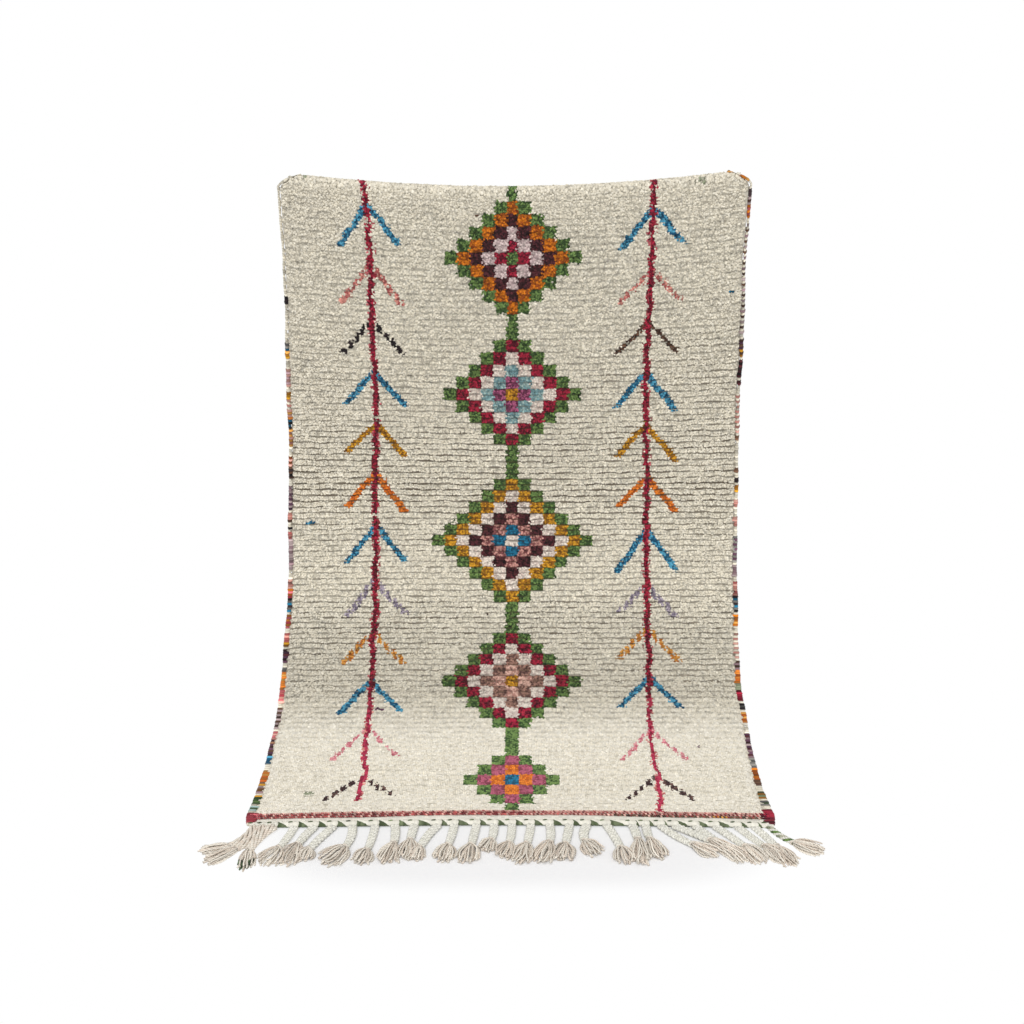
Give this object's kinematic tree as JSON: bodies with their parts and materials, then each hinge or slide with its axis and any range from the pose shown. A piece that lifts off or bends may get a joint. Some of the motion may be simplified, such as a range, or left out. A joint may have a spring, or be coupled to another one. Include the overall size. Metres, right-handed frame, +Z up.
{
  "type": "azilal rug",
  "caption": "Hand-knotted wool rug hung by its top edge, swept forward in one curve onto a flat foot, with braided tassels along its lower end.",
  "frame": {"origin": "middle of the flat foot's underside, where the lower end lies on the floor", "axes": "+Z up, +X to the right of someone who faces the pile, and the pile faces -Y"},
  "size_m": [1.1578, 0.8054, 1.1525],
  "materials": {
    "pile_wool": "matt cut wool pile on a woven ground",
    "binding_yarn": "matt overcast wool yarn in many colours",
    "cord_yarn": "matt twined wool yarn, cream with a green strand",
    "tassel_yarn": "matt plied wool yarn, braided and loose"
  },
  "bodies": {
    "root": {"rug_body": "pile_wool", "selvedge_left": "binding_yarn", "selvedge_right": "binding_yarn", "end_cord": "cord_yarn", "tassel_01": "tassel_yarn", "tassel_02": "tassel_yarn", "tassel_03": "tassel_yarn", "tassel_04": "tassel_yarn", "tassel_05": "tassel_yarn", "tassel_06": "tassel_yarn", "tassel_07": "tassel_yarn", "tassel_08": "tassel_yarn", "tassel_09": "tassel_yarn", "tassel_10": "tassel_yarn", "tassel_11": "tassel_yarn", "tassel_12": "tassel_yarn", "tassel_13": "tassel_yarn", "tassel_14": "tassel_yarn", "tassel_15": "tassel_yarn", "tassel_16": "tassel_yarn", "tassel_17": "tassel_yarn", "tassel_18": "tassel_yarn", "tassel_19": "tassel_yarn", "tassel_20": "tassel_yarn", "tassel_21": "tassel_yarn", "tassel_22": "tassel_yarn", "tassel_23": "tassel_yarn", "tassel_24": "tassel_yarn", "tassel_25": "tassel_yarn", "tassel_26": "tassel_yarn", "tassel_27": "tassel_yarn", "tassel_28": "tassel_yarn", "tassel_29": "tassel_yarn"}
  },
  "joints": []
}
